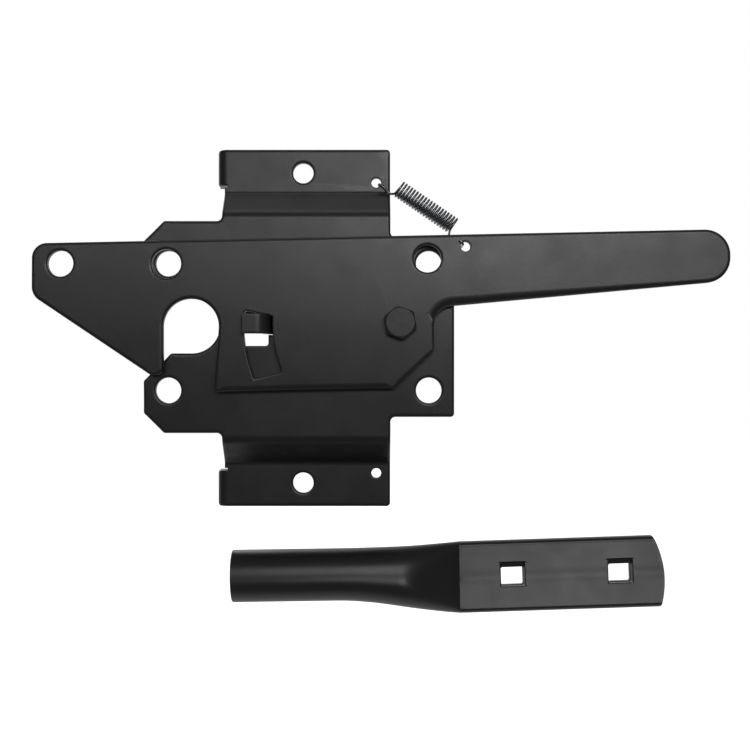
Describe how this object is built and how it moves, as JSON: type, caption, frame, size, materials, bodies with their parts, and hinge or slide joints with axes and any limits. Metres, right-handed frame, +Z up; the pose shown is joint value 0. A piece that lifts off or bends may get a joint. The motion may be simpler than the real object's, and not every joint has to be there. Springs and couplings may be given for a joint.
{
  "type": "gravity gate latch",
  "caption": "Post-mounted gate latch: a bent back plate with a pivoting, sprung latch lever, and a flattened striker bar that the lever's hook drops over.",
  "frame": {"origin": "on the post's face, midway between the two ear holes of the back plate", "axes": "+X along the latch towards the lever's handle, +Y into the post, +Z up"},
  "size_m": [0.2331, 0.0259, 0.1592],
  "materials": {
    "black_coat": "satin black powder coat over steel sheet",
    "black_steel": "black oxide steel",
    "zinc_steel": "zinc plated steel",
    "nylon": "off-white nylon",
    "spring_steel": "bright drawn spring wire"
  },
  "bodies": {
    "plate": {"back_plate": "black_coat", "pivot_bolt": "black_steel", "pivot_bush": "zinc_steel", "spacer_washer": "zinc_steel", "rear_washer": "black_steel", "lock_nut": "black_steel", "nut_insert": "nylon"},
    "lever": {"latch_lever": "black_coat"},
    "spring_ear_end": {"spring_ear_half": "spring_steel"},
    "spring_lever_end": {"spring_lever_half": "spring_steel"},
    "striker": {"striker_bar": "black_coat"}
  },
  "joints": [
    {"name": "lever_pivot", "type": "hinge", "parent": "plate", "child": "lever", "pos_m": [0.0331, -0.0141, 0.00115], "axis": [0, 1, 0], "range_deg": [0, 17], "stiffness_Nm_per_rad": 1.4, "springref_deg": -3.44},
    {"name": "spring_swing", "type": "hinge", "parent": "plate", "child": "spring_ear_end", "pos_m": [0.02515, -0.0015, 0.04995], "axis": [0, 1, 0], "range_deg": [0, 2.4]},
    {"name": "spring_stretch", "type": "slide", "parent": "spring_ear_end", "child": "spring_lever_end", "axis": [0.7873, 0, -0.6166], "range_m": [0, 0.01]},
    {"name": "striker_travel", "type": "slide", "parent": "plate", "child": "striker", "axis": [1, 0, 0], "range_m": [-0.12, 0]}
  ],
  "couplings": [
    {"joint": "spring_swing", "follows": "lever_pivot", "ratio": 0.13364},
    {"joint": "spring_stretch", "follows": "lever_pivot", "m_per_rad": 0.032942}
  ]
}
